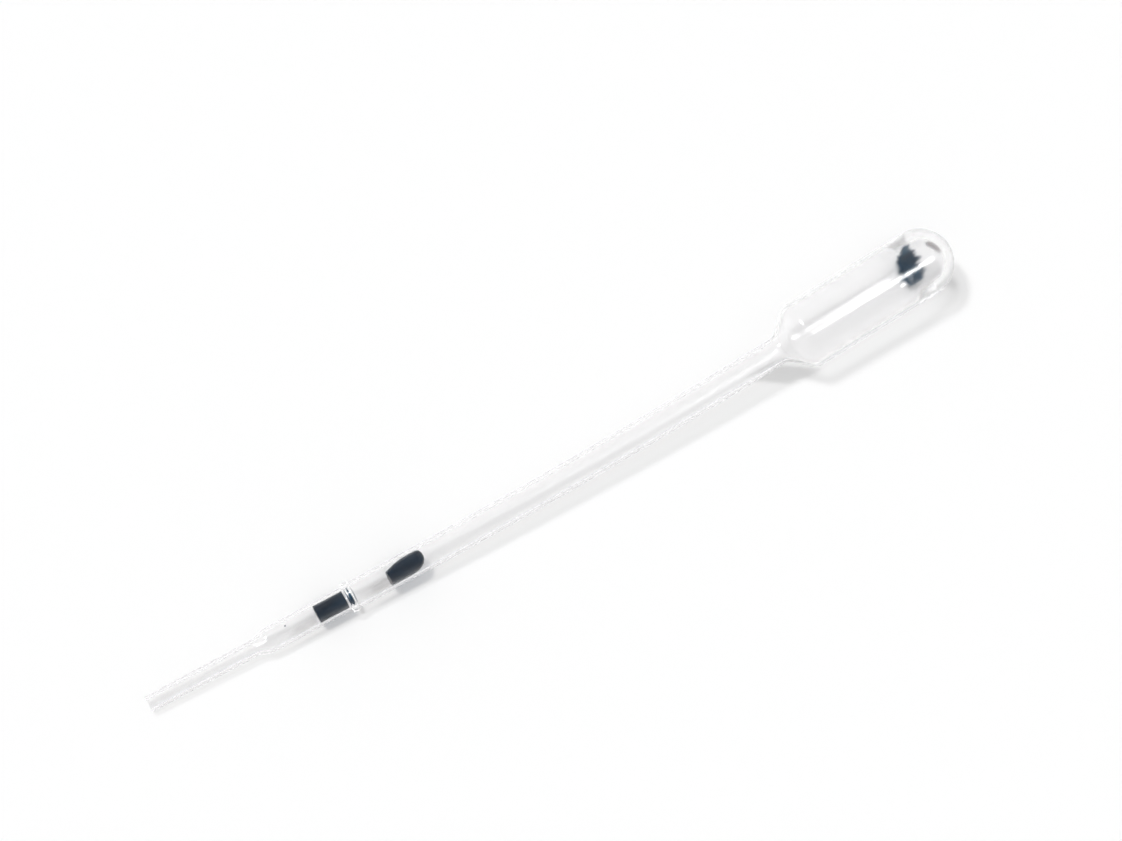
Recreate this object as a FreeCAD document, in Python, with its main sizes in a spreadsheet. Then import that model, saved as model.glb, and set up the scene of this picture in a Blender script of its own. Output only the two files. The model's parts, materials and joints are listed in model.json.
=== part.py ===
import FreeCAD, Part
import Sketcher
import math
import os

# Blown plastic dropper pipette lying on a flat surface, with the ink left inside it.
# Every piece is drawn along its own axis, which runs from the open tip to the closed dome,
# and is then laid down by one rest pose.

SIZES = {
    # Lengths along the axis, from corner to corner.
    "tip_length": 19.9,
    "tip_shoulder_length": 1.8,
    "lower_stem_length": 14.9,
    "bead_width": 1.3,
    "stem_length": 81.5,
    "neck_length": 1.5,
    "bulb_length": 24.6,
    # Outside radii. The dome is a hemisphere of the bulb's radius.
    "tip_end_radius": 1.38,
    "tip_radius": 1.45,
    "lower_stem_radius": 2.1,
    "stem_radius": 2.35,
    "bead_height": 0.3,
    "bulb_radius": 5.9,
    # Walls. The plastic gathers at the closed end.
    "tip_wall": 0.6,
    "lower_stem_wall": 0.5,
    "stem_wall": 0.55,
    "bulb_wall": 0.6,
    "dome_wall": 1.65,
    "gather_length": 4.0,
    # Rounds, and the slope of the bulb's shoulder in degrees.
    "lip_round": 0.12,
    "tip_round": 2.5,
    "bead_round": 0.3,
    "neck_round": 2.7,
    "shoulder_round": 2.7,
    "gather_round": 6.0,
    "shoulder_slope": 45.0,
    # The sideways bow that the soft stem has taken.
    "bow_radius": 1240.0,
    # Ink slug that fills the lower stem just short of the bead.
    "slug_gap": 0.3,
    "slug_length": 5.3,
    "slug_meniscus": 0.2,
    # Ink drop that fills the bore of the main stem. It is straight in a bowed bore, so it
    # stands off the wall by the gap. Each end slants away from its corner, which stands
    # off the axis by the end's offset. The lean tips the ends about the axis, in degrees.
    "drop_gap": 0.01,
    "drop_start": 6.2,
    "drop_length": 7.0,
    "drop_lean": 19.0,
    "drop_head_slant": 3.9,
    "drop_head_offset": 0.35,
    "drop_head_round": 1.2,
    "drop_back_slant": 1.3,
    "drop_back_offset": 1.0,
    "drop_back_round": 0.6,
    "drop_tail_slant": 3.4,
    "drop_tail_offset": 0.95,
    "drop_tail_round": 0.5,
    "drop_rim_round": 0.15,
    # Ink film that wraps the wall where the bulb closes in. Back and front are from the
    # centre of the dome. Its skin has the curve's radius. The sweep and the turn of its
    # middle from sideways are in degrees.
    "film_back": 2.6,
    "film_front": 1.9,
    "film_curve": 8.0,
    "film_sweep": 126.0,
    "film_turn": -51.0,
}

# Radii and stations worked out from the sheet.
TIP_BORE = "(sizes.tip_radius - sizes.tip_wall)"
LOWER_BORE = "(sizes.lower_stem_radius - sizes.lower_stem_wall)"
STEM_BORE = "(sizes.stem_radius - sizes.stem_wall)"
BULB_BORE = "(sizes.bulb_radius - sizes.bulb_wall)"
DOME_BORE = "(sizes.bulb_radius - sizes.dome_wall)"
BEAD_RADIUS = "(sizes.stem_radius + sizes.bead_height)"
LOWER_STEM_START = "(sizes.tip_length + sizes.tip_shoulder_length)"
BEAD_START = f"({LOWER_STEM_START} + sizes.lower_stem_length)"
BEAD_END = f"({BEAD_START} + sizes.bead_width)"
SHOULDER_RUN = "((sizes.bulb_radius - sizes.stem_radius) / tan(sizes.shoulder_slope * 1 deg))"
SHOULDER_END = f"(sizes.neck_length + {SHOULDER_RUN})"
DOME_CENTRE = f"({SHOULDER_END} + sizes.bulb_length)"
NECK_SHIFT = "(sizes.stem_wall * tan(sizes.shoulder_slope * 0.5 deg))"
SHOULDER_SHIFT = "(sizes.bulb_wall * tan(sizes.shoulder_slope * 0.5 deg))"

X_AXIS, Y_AXIS, ORIGIN = -1, -2, (-1, 1)
START, END, CENTRE = 1, 2, 3
UP = FreeCAD.Vector(0, 0, 1)
ALONG = FreeCAD.Vector(1, 0, 0)
ACROSS = FreeCAD.Vector(0, 1, 0)

doc = FreeCAD.newDocument("dropper_pipette")


# ---------------------------------------------------------------- sheet and sketches

def make_sheet():
    sheet = doc.addObject("Spreadsheet::Sheet", "sizes")
    for row, (alias, value) in enumerate(SIZES.items(), start=1):
        sheet.set(f"A{row}", alias)
        sheet.set(f"B{row}", str(value))
        sheet.setAlias(f"B{row}", alias)
    doc.recompute()


def number(expression):
    """The value that an expression in the sheet's aliases has now."""
    value = doc.sizes.evalExpression(expression)
    return float(getattr(value, "Value", value))


def point(along, out="0"):
    return FreeCAD.Vector(number(along), number(out), 0)


def make_body(label):
    body = doc.addObject("PartDesign::Body", label)
    body.Label = label
    return body


def make_sketch(body, name, plane="XY_Plane"):
    sketch = body.newObject("Sketcher::SketchObject", name)
    support = next(item for item in body.Origin.OriginFeatures if item.Role == plane)
    sketch.AttachmentSupport = (support, "")
    sketch.MapMode = "FlatFace"
    return sketch


def tie(sketch, kind, *references):
    return sketch.addConstraint(Sketcher.Constraint(kind, *references))


def size(sketch, kind, references, expression):
    """A driving dimension that follows the sheet."""
    index = tie(sketch, kind, *references, number(expression))
    sketch.setExpression(f"Constraints[{index}]", expression)


def place(sketch, geometry, spot, along, out):
    """Holds a point at two expressions, where "0" puts it on the sketch's own axis.

    None leaves that way free.
    """
    for kind, expression, axis in (("DistanceX", along, Y_AXIS), ("DistanceY", out, X_AXIS)):
        if expression is None:
            continue
        if expression == "0":
            tie(sketch, "PointOnObject", geometry, spot, axis)
        else:
            size(sketch, kind, (*ORIGIN, geometry, spot), expression)


def add_arc(sketch, centre, start, end):
    """The shorter arc from start to end, with the names of those two ends."""
    turn = (start - centre).cross(end - centre).z
    ends = (start, end) if turn > 0 else (end, start)
    angles = [math.atan2(spot.y - centre.y, spot.x - centre.x) for spot in ends]
    circle = Part.Circle(centre, UP, (start - centre).Length)
    arc = sketch.addGeometry(Part.ArcOfCircle(circle, *angles))
    return (arc, START, END) if turn > 0 else (arc, END, START)


def round_corner(before, corner, after, radius):
    """Centre and two touching points of a round between two lines."""
    back = (before - corner).normalize()
    ahead = (after - corner).normalize()
    half = back.getAngle(ahead) / 2
    reach = radius / math.tan(half)
    centre = corner + (back + ahead).normalize() * (radius / math.sin(half))
    return centre, corner + back * reach, corner + ahead * reach


def outline(sketch, corners, ends=()):
    """Lines through corners (along, out, round or None), with a tangent arc at each round.

    It is closed, unless it has two free ends for something else to join.
    Returns its first and last line.
    """
    spots = [point(along, out) for along, out, _ in corners]
    rounds = [rounding for _, _, rounding in corners]
    if ends:
        spots = [ends[0], *spots, ends[1]]
        rounds = [None, *rounds, None]
    count = len(spots)
    arrive, leave, centres = list(spots), list(spots), [None] * count
    for i in range(count):
        if rounds[i]:
            after = spots[(i + 1) % count]
            cut = round_corner(spots[i - 1], spots[i], after, number(rounds[i]))
            centres[i], arrive[i], leave[i] = cut
    lines = []
    for i in range(count - 1 if ends else count):
        line = Part.LineSegment(leave[i], arrive[(i + 1) % count])
        lines.append(sketch.addGeometry(line))
    offset = 1 if ends else 0
    for i, (along, out, rounding) in enumerate(corners, start=offset):
        before, after = lines[i - 1], lines[i]
        if not rounding:
            tie(sketch, "Coincident", before, END, after, START)
            place(sketch, before, END, along, out)
            continue
        arc, first, last = add_arc(sketch, centres[i], arrive[i], leave[i])
        tie(sketch, "Tangent", before, END, arc, first)
        tie(sketch, "Tangent", arc, last, after, START)
        size(sketch, "Radius", (arc,), rounding)
        corner = sketch.addGeometry(Part.Point(spots[i]), True)
        tie(sketch, "PointOnObject", corner, START, before)
        tie(sketch, "PointOnObject", corner, START, after)
        place(sketch, corner, START, along, out)
    return lines[0], lines[-1]


def axis_line(sketch, first, second):
    """Closes an outline along the axis, between two (geometry, end) pairs."""
    line = sketch.addGeometry(Part.LineSegment(sketch.getPoint(*first), sketch.getPoint(*second)))
    tie(sketch, "Coincident", line, START, *first)
    tie(sketch, "Coincident", line, END, *second)


def revolve(body, name, sketch, axis, angle="360"):
    feature = body.newObject("PartDesign::Revolution", name)
    feature.Profile = sketch
    feature.ReferenceAxis = (sketch, [axis])
    feature.setExpression("Angle", angle)
    doc.recompute()


# ---------------------------------------------------------------- the blown plastic

def draw_front(sketch):
    """Wall of the tip tube, its shoulder, the lower stem and the bead."""
    outline(sketch, [
        ("0", TIP_BORE, None),
        ("0", "sizes.tip_end_radius", "sizes.lip_round"),
        ("sizes.tip_length", "sizes.tip_radius", "sizes.tip_round"),
        (LOWER_STEM_START, "sizes.lower_stem_radius", "sizes.tip_round"),
        (BEAD_START, "sizes.lower_stem_radius", None),
        (BEAD_START, BEAD_RADIUS, "sizes.bead_round"),
        (BEAD_END, BEAD_RADIUS, "sizes.bead_round"),
        (BEAD_END, STEM_BORE, None),
        (BEAD_START, LOWER_BORE, None),
        (LOWER_STEM_START, LOWER_BORE, "sizes.tip_round"),
        ("sizes.tip_length", TIP_BORE, "sizes.tip_round"),
    ])


def draw_circle(sketch, radius, across="0", up="0"):
    circle = sketch.addGeometry(Part.Circle(point(across, up), UP, number(radius)))
    place(sketch, circle, CENTRE, across, up)
    size(sketch, "Radius", (circle,), radius)


def draw_bow_line(sketch):
    """The line that the stem bows about, drawn beside a section of the stem."""
    foot = point("sizes.bow_radius")
    line = sketch.addGeometry(Part.LineSegment(foot, foot + ACROSS), True)
    place(sketch, line, START, "sizes.bow_radius", "0")
    place(sketch, line, END, "sizes.bow_radius", "1")


def cavity_corners():
    """Inside of the bulb, from its thick end back to the bore of the stem."""
    return [
        (f"({DOME_CENTRE} - sizes.gather_length)", BULB_BORE, "sizes.gather_round"),
        (f"({SHOULDER_END} + {SHOULDER_SHIFT})", BULB_BORE, "(sizes.shoulder_round - sizes.bulb_wall)"),
        (f"(sizes.neck_length + {NECK_SHIFT})", STEM_BORE, "(sizes.neck_round + sizes.stem_wall)"),
        ("0", STEM_BORE, None),
    ]


def gather_touch():
    """Where the thickening wall runs into the round of the inner dome."""
    radius = number(DOME_BORE)
    corner = FreeCAD.Vector(-number("sizes.gather_length"), number(BULB_BORE), 0)
    angle = math.atan2(corner.y, corner.x) - math.acos(radius / corner.Length)
    return point(DOME_CENTRE) + FreeCAD.Vector(math.cos(angle), math.sin(angle), 0) * radius


def dome_arc(sketch, radius, touch, line, line_end):
    """Round of the dome, tangent to a wall line and square to the axis. Gives its pole."""
    centre = point(DOME_CENTRE)
    arc, pole, wall = add_arc(sketch, centre, centre + ALONG * number(radius), touch)
    tie(sketch, "PointOnObject", arc, pole, X_AXIS)
    place(sketch, arc, CENTRE, DOME_CENTRE, "0")
    size(sketch, "Radius", (arc,), radius)
    tie(sketch, "Tangent", arc, wall, line, line_end)
    return arc, pole


def draw_bulb(sketch):
    """Wall of the neck, the shoulder, the bulb and its closed dome."""
    corners = cavity_corners() + [
        ("0", "sizes.stem_radius", None),
        ("sizes.neck_length", "sizes.stem_radius", "sizes.neck_round"),
        (SHOULDER_END, "sizes.bulb_radius", "sizes.shoulder_round"),
    ]
    crown = point(DOME_CENTRE, "sizes.bulb_radius")
    first, last = outline(sketch, corners, (gather_touch(), crown))
    inside = dome_arc(sketch, DOME_BORE, gather_touch(), first, START)
    outside = dome_arc(sketch, "sizes.bulb_radius", crown, last, END)
    axis_line(sketch, inside, outside)


def stem_frame(run):
    """Where the bowed axis has got to at a run past the bead, and which way it points."""
    angle = math.degrees(run / number("sizes.bow_radius"))
    turn = FreeCAD.Rotation(UP, angle)
    centre = FreeCAD.Vector(number(BEAD_END), number("sizes.bow_radius"), 0)
    return FreeCAD.Placement(centre - turn.multVec(ACROSS) * number("sizes.bow_radius"), turn)


def turned(angle):
    """A turn about the axis."""
    return FreeCAD.Placement(FreeCAD.Vector(), FreeCAD.Rotation(ALONG, number(angle)))


def make_pipette():
    body = make_body("pipette")
    front = make_sketch(body, "front_wall")
    draw_front(front)
    revolve(body, "front", front, "H_Axis")

    bow_angle = "sizes.stem_length / sizes.bow_radius * 180 / pi"
    ring = make_sketch(body, "stem_wall", "YZ_Plane")
    ring.setExpression("AttachmentOffset.Base.z", BEAD_END)
    draw_circle(ring, "sizes.stem_radius")
    draw_circle(ring, STEM_BORE)
    draw_bow_line(ring)
    revolve(body, "stem", ring, "Axis0", bow_angle)

    bulb = make_sketch(body, "bulb_wall")
    bulb.setExpression("AttachmentOffset.Rotation.Angle", bow_angle)
    bulb.setExpression("AttachmentOffset.Base.x", f"{BEAD_END} + sizes.bow_radius * sin({bow_angle} * 1 deg)")
    bulb.setExpression("AttachmentOffset.Base.y", f"sizes.bow_radius * (1 - cos({bow_angle} * 1 deg))")
    draw_bulb(bulb)
    revolve(body, "bulb", bulb, "H_Axis")
    return body


# ---------------------------------------------------------------- the ink inside

def draw_slug(sketch):
    """Half section of a plug of ink with hollow ends, as wide as the bore."""
    head = f"({BEAD_START} - sizes.slug_gap)"
    tail = f"({head} - sizes.slug_length)"
    wall = sketch.addGeometry(Part.LineSegment(point(tail, LOWER_BORE), point(head, LOWER_BORE)))
    place(sketch, wall, START, tail, LOWER_BORE)
    place(sketch, wall, END, head, LOWER_BORE)
    poles = []
    for station, side, wall_end in ((tail, 1, START), (head, -1, END)):
        inmost = f"({station} + {side} * sizes.slug_meniscus)"
        rim, pole = point(station, LOWER_BORE), point(inmost)
        reach = (rim - pole).Length ** 2 / (2 * number("sizes.slug_meniscus"))
        arc, low, high = add_arc(sketch, pole - ALONG * (side * reach), pole, rim)
        tie(sketch, "PointOnObject", arc, CENTRE, X_AXIS)
        tie(sketch, "Coincident", arc, high, wall, wall_end)
        place(sketch, arc, low, inmost, "0")
        poles.append((arc, low))
    axis_line(sketch, *poles)


def make_slug():
    body = make_body("lower_ink_slug")
    section = make_sketch(body, "slug_section")
    draw_slug(section)
    revolve(body, "slug", section, "H_Axis")
    return body


def side_rims(shape):
    """Edges round the two ends of a bar, where they meet its side."""
    side = max(shape.Faces, key=lambda face: face.Area)
    rims = [edge for edge in side.Edges if not edge.isSeam(side)]
    return [f"Edge{i}" for i, edge in enumerate(shape.Edges, start=1)
            if any(edge.isSame(rim) for rim in rims)]


def draw_drop_outline(sketch):
    """The drop from above, as a hole in a frame that is wider than the bore."""
    head, tail = "(sizes.drop_length / 2)", "(-sizes.drop_length / 2)"
    front, back = f"(-{STEM_BORE})", STEM_BORE
    outline(sketch, [
        (tail, front, None),
        (f"({head} - sizes.drop_head_slant)", front, None),
        (head, "(-sizes.drop_head_offset)", "sizes.drop_head_round"),
        (head, "sizes.drop_back_offset", "sizes.drop_back_round"),
        (f"({head} - sizes.drop_back_slant)", back, None),
        (f"({tail} + sizes.drop_tail_slant)", back, None),
        (tail, "sizes.drop_tail_offset", "sizes.drop_tail_round"),
    ])
    beyond = f"(sizes.drop_length / 2 + {STEM_BORE})"
    wide = f"(2 * {STEM_BORE})"
    outline(sketch, [
        (f"(-{beyond})", f"(-{wide})", None),
        (beyond, f"(-{wide})", None),
        (beyond, wide, None),
        (f"(-{beyond})", wide, None),
    ])


def make_drop():
    """A drop across the bore, cut to its outline from above and rounded at its rims."""
    body = make_body("stem_ink_drop")
    section = make_sketch(body, "drop_section", "YZ_Plane")
    draw_circle(section, f"({STEM_BORE} - sizes.drop_gap)")
    bar = body.newObject("PartDesign::Pad", "drop_bar")
    bar.Profile = section
    bar.Midplane = True
    bar.setExpression("Length", "sizes.drop_length")
    doc.recompute()

    frame = make_sketch(body, "drop_outline")
    draw_drop_outline(frame)
    whole = body.Shape.Volume
    trim = body.newObject("PartDesign::Pocket", "drop_trim")
    trim.Profile = frame
    trim.Type = "ThroughAll"
    trim.Midplane = True
    doc.recompute()
    if body.Shape.Volume >= whole:
        raise RuntimeError("the drop is not cut to its outline")

    cut = body.Tip
    rims = body.newObject("PartDesign::Fillet", "drop_rims")
    rims.Base = (cut, side_rims(cut.Shape))
    rims.setExpression("Radius", "sizes.drop_rim_round")
    doc.recompute()
    return body


def draw_film(sketch):
    """Section of the film, from the thickening wall to the inner dome, swollen inwards."""
    gather = f"({DOME_CENTRE} - sizes.gather_length)"
    centre, touch, corner = point(DOME_CENTRE), gather_touch(), point(gather, BULB_BORE)
    slope = (touch.y - corner.y) / (touch.x - corner.x)
    back, front = number("sizes.film_back"), number("sizes.film_front")
    heel = FreeCAD.Vector(centre.x - back, touch.y + slope * (centre.x - back - touch.x), 0)
    toe = centre + FreeCAD.Vector(front, math.sqrt(number(DOME_BORE) ** 2 - front ** 2), 0)

    wall = sketch.addGeometry(Part.LineSegment(heel, touch))
    place(sketch, wall, START, f"({DOME_CENTRE} - sizes.film_back)", None)
    dome, dome_touch, dome_toe = add_arc(sketch, centre, touch, toe)
    place(sketch, dome, CENTRE, DOME_CENTRE, "0")
    size(sketch, "Radius", (dome,), DOME_BORE)
    place(sketch, dome, dome_toe, f"({DOME_CENTRE} + sizes.film_front)", None)
    tie(sketch, "Tangent", wall, END, dome, dome_touch)
    bend = sketch.addGeometry(Part.Point(corner), True)
    tie(sketch, "PointOnObject", bend, START, wall)
    place(sketch, bend, START, gather, BULB_BORE)

    half, curve = (toe - heel) / 2, number("sizes.film_curve")
    outward = UP.cross(half).normalize()
    spot = heel + half + outward * math.sqrt(curve ** 2 - half.Length ** 2)
    skin, skin_heel, skin_toe = add_arc(sketch, spot, heel, toe)
    tie(sketch, "Coincident", skin, skin_heel, wall, START)
    tie(sketch, "Coincident", skin, skin_toe, dome, dome_toe)
    size(sketch, "Radius", (skin,), "sizes.film_curve")


def make_film():
    body = make_body("bulb_ink_puddle")
    section = make_sketch(body, "film_section")
    draw_film(section)
    revolve(body, "film", section, "H_Axis", "sizes.film_sweep")
    body.Tip.Midplane = True
    doc.recompute()
    return body


# ---------------------------------------------------------------- the pose at rest

def rest_rotation(bulb_frame):
    """Lays the pipette on its lip and on the front round of its bulb."""
    lip, shoulder = number("sizes.lip_round"), number("sizes.shoulder_round")
    shoulder_reach = shoulder * math.tan(math.radians(number("sizes.shoulder_slope")) / 2)
    shoulder_centre = FreeCAD.Vector(number(SHOULDER_END) + shoulder_reach, 0, 0)
    base = bulb_frame.multVec(shoulder_centre) - FreeCAD.Vector(lip, 0, 0)
    rise = (number("sizes.bulb_radius") - shoulder) - (number("sizes.tip_end_radius") - lip)
    run = base.Length
    tilt = math.atan2(rise, run) + math.asin((shoulder - lip) / math.hypot(run, rise))
    heading = math.degrees(math.atan2(base.y, base.x))
    pole = bulb_frame.multVec(point(DOME_CENTRE) + ALONG * number("sizes.bulb_radius"))
    chord = math.degrees(math.atan2(pole.y, pole.x))
    turn = FreeCAD.Rotation(UP, heading - chord)
    return turn * FreeCAD.Rotation(ACROSS, -math.degrees(tilt)) * FreeCAD.Rotation(UP, -heading)


def rest_pose(body, bulb_frame):
    """The pose that also sets the middle of the outline over the origin, at the surface."""
    pose = FreeCAD.Placement(FreeCAD.Vector(), rest_rotation(bulb_frame))
    laid = body.Shape.copy()
    laid.Placement = pose * laid.Placement
    box = laid.optimalBoundingBox(False, False)
    pose.Base = -FreeCAD.Vector(box.Center.x, box.Center.y, box.ZMin)
    return pose


def check(parts):
    for item in doc.Objects:
        if "Invalid" in item.State or "Error" in item.State:
            raise RuntimeError(f"{item.Label} did not build: {item.State}")
        if item.isDerivedFrom("Sketcher::SketchObject") and not item.FullyConstrained:
            raise RuntimeError(f"{item.Label} is not fully constrained")
    for part in parts:
        if part.Shape.isNull() or not part.Shape.isValid() or len(part.Shape.Solids) != 1:
            raise RuntimeError(f"{part.Label} is not one valid solid")


def main():
    make_sheet()
    pipette = make_pipette()
    slug = make_slug()
    drop = make_drop()
    film = make_film()
    bulb_frame = stem_frame(number("sizes.stem_length"))
    pose = rest_pose(pipette, bulb_frame)
    pipette.Placement = pose
    slug.Placement = pose
    drop_frame = stem_frame(number("sizes.drop_start + sizes.drop_length / 2"))
    drop.Placement = pose * drop_frame * turned("sizes.drop_lean")
    film.Placement = pose * bulb_frame * turned("sizes.film_turn")
    doc.recompute()
    parts = [pipette, slug, drop, film]
    check(parts)
    os.makedirs("parts", exist_ok=True)
    for part in parts:
        part.Shape.exportStep(f"parts/{part.Label}.step")
        print(part.Label, round(part.Shape.Volume, 3), "mm3", part.Shape.BoundBox)


main()
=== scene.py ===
import json
import math

import bmesh
import bpy
from bpy.props import FloatProperty, FloatVectorProperty, IntProperty, PointerProperty
from mathutils import Matrix, Vector, noise


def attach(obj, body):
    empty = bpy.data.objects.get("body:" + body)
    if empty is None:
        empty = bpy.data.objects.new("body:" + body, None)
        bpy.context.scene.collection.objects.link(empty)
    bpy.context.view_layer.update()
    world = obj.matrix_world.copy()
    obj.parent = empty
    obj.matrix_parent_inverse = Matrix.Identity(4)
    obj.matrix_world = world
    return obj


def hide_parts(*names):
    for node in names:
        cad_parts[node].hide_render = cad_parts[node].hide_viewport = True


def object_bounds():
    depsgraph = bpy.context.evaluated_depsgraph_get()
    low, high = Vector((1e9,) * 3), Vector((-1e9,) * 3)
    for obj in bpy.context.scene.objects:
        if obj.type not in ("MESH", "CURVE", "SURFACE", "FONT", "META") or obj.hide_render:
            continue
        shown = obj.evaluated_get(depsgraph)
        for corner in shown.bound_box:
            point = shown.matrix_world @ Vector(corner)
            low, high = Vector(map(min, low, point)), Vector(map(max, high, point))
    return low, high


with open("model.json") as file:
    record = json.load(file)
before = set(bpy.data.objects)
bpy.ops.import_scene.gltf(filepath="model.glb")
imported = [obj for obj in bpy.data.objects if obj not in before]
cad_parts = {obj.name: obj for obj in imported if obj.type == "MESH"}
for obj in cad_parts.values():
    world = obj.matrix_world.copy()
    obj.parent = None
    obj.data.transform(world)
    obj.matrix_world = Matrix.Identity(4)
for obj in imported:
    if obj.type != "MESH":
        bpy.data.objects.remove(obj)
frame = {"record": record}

bl_info = {
    "name": "Plastic dropper pipette",
    "version": (1, 0, 0),
    "blender": (4, 5, 0),
    "location": "3D View > Sidebar > Pipette",
    "description": "Blown dropper pipette with ink left inside it, on a pale floor",
    "category": "Object",
}

MOUNTS = {mount["name"]: mount for mount in frame["record"]["mounts"]}
CAD_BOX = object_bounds()
MM = 0.001
TINY = 1e-9

# Directions from the pipette towards its two lamps.
KEY_LIGHT = (-0.25, 0.384, 1.0)
FILL_LIGHT = (0.41, -0.39, 0.83)

# Share of a lamp's light that one crossing of the wall lets through to the floor, beside
# what its slant takes: in the stems, at the closed end, and in the shadow of the neck.
STEM_SHADE = 0.985
DOME_SHADE = 0.87
NECK_SHADE = 0.79

# Where the closed end's shade comes in: millimetres past the centre of the dome.
DOME_SHADE_SPAN = (-2, 4)

# What the wall's slant takes of that light: from facing the lamp, 0, to edge on, 1.
SLANT_SHADE = [(0.0, 0.93), (0.25, 0.95), (0.45, 0.905), (0.65, 0.84), (1.0, 0.76)]

# The neck's shadow on the floor: a direction, its lowest and highest value and its soft edge
# in millimetres. Height counts as far as the key lamp's light carries it.
NECK_SHADOW = [
    ((0.0, 1.0, -0.384), -5.45, -0.6, 0.12),
    ((1.0, 1.37, -0.276), 36.05, 41.5, 0.15),
]

# How often light may bounce, and how many clear faces it may pass, before it is dropped.
BOUNCES = 40
CLEAR_FACES = 24

# Width of the camera's sensor in millimetres.
SENSOR_WIDTH = 36

# Streaks in each finish: how fine and how long they are, and the levels that count as none
# and as full.
WALL_STREAKS = (1600, 60, 0.2, 0.8)
INK_STREAKS = (700, 3, 0.35, 0.85)
FILM_STREAKS = (1400, 1.5, 0.3, 0.7)
SHADE_VEIL_STREAKS = (1500, 8, 0.25, 0.75)

# Shine of deep ink and of the film, and the tint of the light that deep ink lets past.
INK_SHINE = 0.12
FILM_SHINE = 0.2
FILM_ROUGHNESS = 0.15
INK_SHADOW = (0.55, 0.57, 0.6)

# Painted shade on the bore, a grey veil that stands in for the ink's shadow and reflection in the wall:
# runs along the pipette, distances across it and strength.
SHADE_VEILS = [
    ("lower_stem_painted_shade", (24.0, 30.6), (-0.1, 1.55), 0.2),
    ("stem_painted_shade", (38.2, 44.6), (-0.35, 1.75), 0.3),
]

# Painted reflection inside the dome, a grey veil where its top reflects darker surroundings: share of
# the way along it, degrees from straight down, millimetres past the centre of the dome and width.
DOME_VEIL = [(0.0, 160.0, 1.8, 1.1), (0.35, 174.0, 2.2, 2.0),
              (0.65, 186.0, 2.6, 1.8), (1.0, 209.0, 3.0, 0.7)]
DOME_VEIL_STRENGTH = 0.85

# Thickness of a veil of painted shade, and of the film of ink at its rim, in millimetres.
VEIL_DEPTH = 0.012
FILM_RIM_DEPTH = 0.008

# Faces along and across, or along and round, the ink, the dark crescent and the painted shade that
# aren't turned on the lathe.
FILM_GRID = (240, 22)
VEIL_GRID = (60, 16)
DROP_GRID = (80, 64)
BEAD_CRESCENT_GRID = (60, 12)

# Fringe on the film's two edges: height in millimetres and seed.
BACK_TEETH = (0.95, 1.5)
FRONT_TEETH = (0.85, 4.5)

# Ends of the drop: millimetres over which each one rounds off, and the square of the share
# of its depth that is left at the very end.
DROP_ENDS = ((0.3, 0.05), (1.1, 0.02))

# Dark crescent under the bead, drawn as a thin film: first angle and sweep in degrees, then in
# millimetres its least thickness, how much it swells, its place past the bead's start and how far it
# stands outside the lower stem's bore.
BEAD_CRESCENT_TURN = (-82, 130)
BEAD_CRESCENT_DEPTH = (0.05, 0.11)
BEAD_CRESCENT_PLACE = (0.6, 0.06)

# Specks: name, run, distance across and out from the axis, reach along, across and deep, and
# seed.
SPECKS = [
    ("lower_stem_speck", 25.5, -0.8, 1.56, (0.16, 0.12, 0.03), 3.0),
]


# -------------------- sizes and finishes

def length(name, description, default):
    """A length, with its default in millimetres."""
    return FloatProperty(name=name, description=description, default=default * MM,
                         subtype="DISTANCE", unit="LENGTH", min=0.0, precision=5)


def colour(name, description, default):
    """A colour, as red, green and blue from 0 to 1."""
    return FloatVectorProperty(name=name, description=description, default=default,
                               subtype="COLOR", size=3, min=0.0, max=1.0)


def angle(name, description, degrees):
    """An angle, with its default in degrees."""
    return FloatProperty(name=name, description=description, default=math.radians(degrees),
                         subtype="ANGLE", unit="ROTATION")


def amount(name, description, default, top=1.0):
    """A plain number from 0 to top."""
    return FloatProperty(name=name, description=description, default=default, min=0.0, max=top)


class PipetteSizes(bpy.types.PropertyGroup):
    tip_length: length("Tip length", "Thin tip tube, from its open end to its shoulder", 19.9)
    tip_shoulder: length("Tip shoulder", "Cone from the tip tube to the lower stem", 1.8)
    lower_stem: length("Lower stem", "Lower stem, from the cone to the bead", 14.9)
    bead: length("Bead", "Width of the ring between the two stems", 1.3)
    stem: length("Stem", "Main stem, from the bead to the neck", 81.5)
    neck: length("Neck", "Straight neck before the bulb opens out", 1.5)
    bulb: length("Bulb", "Straight side of the bulb", 24.6)
    tip_end_radius: length("Tip end radius", "Outside radius of the open end", 1.38)
    tip_radius: length("Tip radius", "Outside radius of the tip tube at its shoulder", 1.45)
    lower_radius: length("Lower stem radius", "Outside radius of the lower stem", 2.1)
    stem_radius: length("Stem radius", "Outside radius of the main stem", 2.35)
    bead_height: length("Bead height", "How far the ring stands above the main stem", 0.3)
    bulb_radius: length("Bulb radius", "Outside radius of the bulb and its dome", 5.9)
    tip_wall: length("Tip wall", "Wall of the tip tube", 0.6)
    lower_wall: length("Lower stem wall", "Wall of the lower stem", 0.5)
    stem_wall: length("Stem wall", "Wall of the main stem", 0.55)
    bulb_wall: length("Bulb wall", "Wall of the bulb", 0.6)
    dome_wall: length("Dome wall", "Wall at the closed end, where the plastic gathers", 1.65)
    gather: length("Gather", "How far before the dome the wall starts to thicken", 4.0)
    lip_round: length("Lip round", "Round on the rim of the open end", 0.12)
    tip_round: length("Tip round", "Rounds at both ends of the tip's cone", 2.5)
    bead_round: length("Bead round", "Rounds on the ring", 0.3)
    neck_round: length("Neck round", "Round where the neck opens out", 2.7)
    shoulder_round: length("Shoulder round", "Round where the bulb's shoulder ends", 2.7)
    gather_round: length("Gather round", "Round where the inner wall starts to close", 6.0)
    shoulder_slope: angle("Shoulder slope", "Slope of the bulb's shoulder", 45)
    sides: IntProperty(name="Sides", description="Faces round the blown wall", default=300, min=24)


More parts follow.
